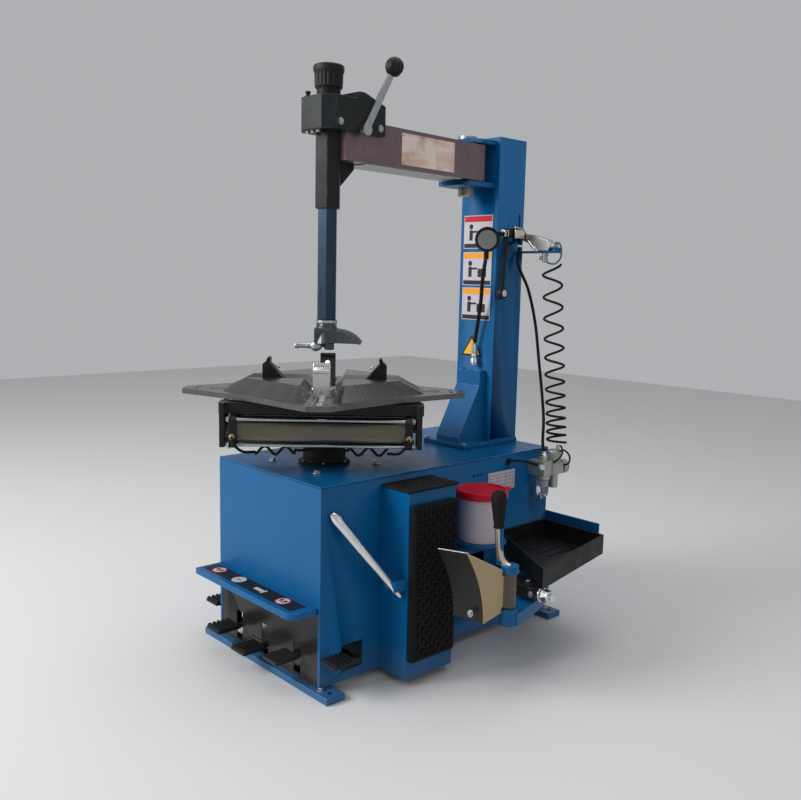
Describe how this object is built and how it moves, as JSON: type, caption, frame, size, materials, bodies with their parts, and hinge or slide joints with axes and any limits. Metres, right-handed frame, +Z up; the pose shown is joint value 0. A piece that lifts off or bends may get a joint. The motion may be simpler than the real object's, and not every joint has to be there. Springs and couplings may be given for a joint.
{
  "type": "tire changer machine",
  "caption": "Swing-arm tire changer with four-jaw turntable, sliding mast and mount head, side bead breaker, foot pedals, regulator, inflator and hoses.",
  "frame": {"origin": "on the floor under the middle of the front skid", "axes": "+X towards the bead-breaker side, -Y towards the operator and pedals, +Z up"},
  "size_m": [0.762, 0.8907, 1.395],
  "materials": {
    "blue_paint": "gloss",
    "black_paint": "satin",
    "arm_paint": "gloss",
    "steel": "machined",
    "dark_steel": "cast",
    "chrome": "polished",
    "cylinder_tube": "anodised",
    "rubber": "matt",
    "black_plastic": "moulded",
    "tan_paint": "satin",
    "white_plastic": "moulded",
    "red_plastic": "moulded",
    "clear_plastic": "clear",
    "grey_alloy": "die cast",
    "motor_paint": "satin"
  },
  "bodies": {
    "base": {"front_skid": "blue_paint", "rear_skid": "blue_paint", "cabinet_shell": "blue_paint", "cabinet_top": "blue_paint", "pedal_hood": "blue_paint", "pad_box": "blue_paint", "column_base": "blue_paint", "column_tube": "blue_paint", "tray_bracket": "blue_paint", "pedal_panel": "black_paint", "arm_pivot_pin": "steel", "air_chuck": "chrome", "rubber_pad": "rubber", "box_top_mat": "rubber", "drive_belt": "rubber", "coil_hose": "rubber", "supply_hose": "rubber", "gauge_hose": "rubber", "inflator_gauge": "rubber", "tool_tray": "black_plastic", "inflator_gun": "black_plastic", "bucket": "white_plastic", "filter_bowl": "clear_plastic", "air_unit_body": "grey_alloy", "blow_gun": "grey_alloy", "motor": "motor_paint", "gearbox": "black_paint"},
    "arm": {"swing_arm": "arm_paint", "mast_sleeve": "black_paint", "clamp_housing": "black_paint"},
    "lock_lever": {"lock_lever": "steel", "lever_knob": "black_plastic"},
    "mast": {"hex_shaft": "steel", "mast_cap": "black_plastic", "mount_head": "dark_steel"},
    "roller": {"head_roller": "steel"},
    "turntable": {"turntable_plate": "steel", "table_carrier": "black_paint", "clamp_cylinder_1": "cylinder_tube", "clamp_cylinder_2": "cylinder_tube"},
    "jaw_1": {"jaw_1": "dark_steel"},
    "jaw_2": {"jaw_2": "steel"},
    "jaw_3": {"jaw_3": "dark_steel"},
    "jaw_4": {"jaw_4": "steel"},
    "gearbox_pulley": {"gearbox_pulley": "dark_steel"},
    "motor_pulley": {"motor_pulley": "dark_steel"},
    "breaker_arm": {"breaker_arm": "blue_paint", "handle_grip": "rubber"},
    "blade": {"breaker_blade": "tan_paint"},
    "ram": {"breaker_cylinder": "cylinder_tube"},
    "rod": {"breaker_rod": "chrome"},
    "rotation_pedal": {"rotation_pedal": "black_plastic"},
    "clamp_pedal": {"clamp_pedal": "black_plastic"},
    "tilt_pedal": {"tilt_pedal": "black_paint"},
    "breaker_pedal_left": {"breaker_pedal_left": "black_plastic"},
    "breaker_pedal_right": {"breaker_pedal_right": "black_plastic"},
    "regulator_knob": {"regulator_knob": "grey_alloy"},
    "trigger": {"inflator_trigger": "chrome"},
    "bucket_lid": {"bucket_lid": "red_plastic"},
    "tire_lever": {"tire_lever": "chrome"}
  },
  "joints": [
    {"name": "arm_swing", "type": "hinge", "parent": "base", "child": "arm", "pos_m": [0.038, 0.582, 1.2], "axis": [0, 0, 1], "range_deg": [-10, 88]},
    {"name": "mast_slide", "type": "slide", "parent": "arm", "child": "mast", "axis": [0, 0, 1], "range_m": [0, 0.24]},
    {"name": "lock_lever_turn", "type": "hinge", "parent": "arm", "child": "lock_lever", "pos_m": [0.12557, 0.16108, 1.226], "axis": [0.9976, 0.0698, 0], "range_deg": [-25, 40]},
    {"name": "roller_spin", "type": "hinge", "parent": "mast", "child": "roller", "pos_m": [0.0629, 0.08252, 0.753], "axis": [0.6561, 0.7547, 0], "continuous": true},
    {"name": "turntable_spin", "type": "hinge", "parent": "base", "child": "turntable", "pos_m": [0, 0.157, 0.6], "axis": [0, 0, 1], "continuous": true},
    {"name": "jaw_1_slide", "type": "slide", "parent": "turntable", "child": "jaw_1", "axis": [-0.6508, -0.7593, 0], "range_m": [-0.02, 0.105]},
    {"name": "jaw_2_slide", "type": "slide", "parent": "turntable", "child": "jaw_2", "axis": [0.7593, -0.6508, 0], "range_m": [-0.02, 0.105]},
    {"name": "jaw_3_slide", "type": "slide", "parent": "turntable", "child": "jaw_3", "axis": [0.6508, 0.7593, 0], "range_m": [-0.02, 0.105]},
    {"name": "jaw_4_slide", "type": "slide", "parent": "turntable", "child": "jaw_4", "axis": [-0.7593, 0.6508, 0], "range_m": [-0.02, 0.105]},
    {"name": "gearbox_pulley_spin", "type": "hinge", "parent": "base", "child": "gearbox_pulley", "pos_m": [0, 0.157, 0.29], "axis": [0, 0, 1], "continuous": true},
    {"name": "motor_pulley_spin", "type": "hinge", "parent": "base", "child": "motor_pulley", "pos_m": [-0.06, 0.592, 0.29], "axis": [0, 0, 1], "continuous": true},
    {"name": "breaker_swing", "type": "hinge", "parent": "base", "child": "breaker_arm", "pos_m": [0.24, 0.682, 0.158], "axis": [0, 0, 1], "range_deg": [0, 28]},
    {"name": "blade_tilt", "type": "hinge", "parent": "breaker_arm", "child": "blade", "pos_m": [0.452, 0.322, 0.236], "axis": [0, 0, 1], "range_deg": [-5, 12]},
    {"name": "ram_swivel", "type": "hinge", "parent": "base", "child": "ram", "pos_m": [-0.17, 0.422, 0.205], "axis": [0, 0, 1], "range_deg": [0, 10]},
    {"name": "rod_slide", "type": "slide", "parent": "ram", "child": "rod", "axis": [1, 0, 0], "range_m": [0, 0.114]},
    {"name": "rotation_pedal_press", "type": "hinge", "parent": "base", "child": "rotation_pedal", "pos_m": [-0.118, 0.102, 0.056], "axis": [1, 0, 0], "range_deg": [0, 7], "stiffness_Nm_per_rad": 14, "springref_deg": -6.88},
    {"name": "clamp_pedal_press", "type": "hinge", "parent": "base", "child": "clamp_pedal", "pos_m": [-0.009, 0.102, 0.056], "axis": [1, 0, 0], "range_deg": [0, 7], "stiffness_Nm_per_rad": 14, "springref_deg": -6.88},
    {"name": "tilt_pedal_press", "type": "hinge", "parent": "base", "child": "tilt_pedal", "pos_m": [0.12, 0.102, 0.056], "axis": [1, 0, 0], "range_deg": [0, 7], "stiffness_Nm_per_rad": 14, "springref_deg": -6.88},
    {"name": "breaker_pedal_left_press", "type": "hinge", "parent": "base", "child": "breaker_pedal_left", "pos_m": [-0.225, 0.084, 0.064], "axis": [1, 0, 0], "range_deg": [0, 10], "stiffness_Nm_per_rad": 8, "springref_deg": -6.88},
    {"name": "breaker_pedal_right_press", "type": "hinge", "parent": "base", "child": "breaker_pedal_right", "pos_m": [0.225, 0.084, 0.064], "axis": [1, 0, 0], "range_deg": [0, 10], "stiffness_Nm_per_rad": 8, "springref_deg": -6.88},
    {"name": "regulator_knob_turn", "type": "hinge", "parent": "base", "child": "regulator_knob", "pos_m": [0.243, 0.736, 0.45], "axis": [0, 0, 1], "range_deg": [-150, 150]},
    {"name": "trigger_press", "type": "slide", "parent": "base", "child": "trigger", "axis": [-1, 0, 0], "range_m": [0, 0.004], "stiffness_N_per_m": 800, "springref_m": -0.001},
    {"name": "bucket_lid_lift", "type": "slide", "parent": "base", "child": "bucket_lid", "axis": [0, 0, 1], "range_m": [0, 0.12]},
    {"name": "tire_lever_pull", "type": "slide", "parent": "base", "child": "tire_lever", "axis": [0, -1, 0], "range_m": [0, 0.1]}
  ],
  "couplings": [
    {"joint": "jaw_2_slide", "follows": "jaw_1_slide", "ratio": 1},
    {"joint": "jaw_3_slide", "follows": "jaw_1_slide", "ratio": 1},
    {"joint": "jaw_4_slide", "follows": "jaw_1_slide", "ratio": 1},
    {"joint": "gearbox_pulley_spin", "follows": "turntable_spin", "ratio": 10},
    {"joint": "motor_pulley_spin", "follows": "turntable_spin", "ratio": 21.765},
    {"joint": "ram_swivel", "follows": "breaker_swing", "ratio": 0.341},
    {"joint": "rod_slide", "follows": "breaker_swing", "m_per_rad": 0.2257}
  ]
}
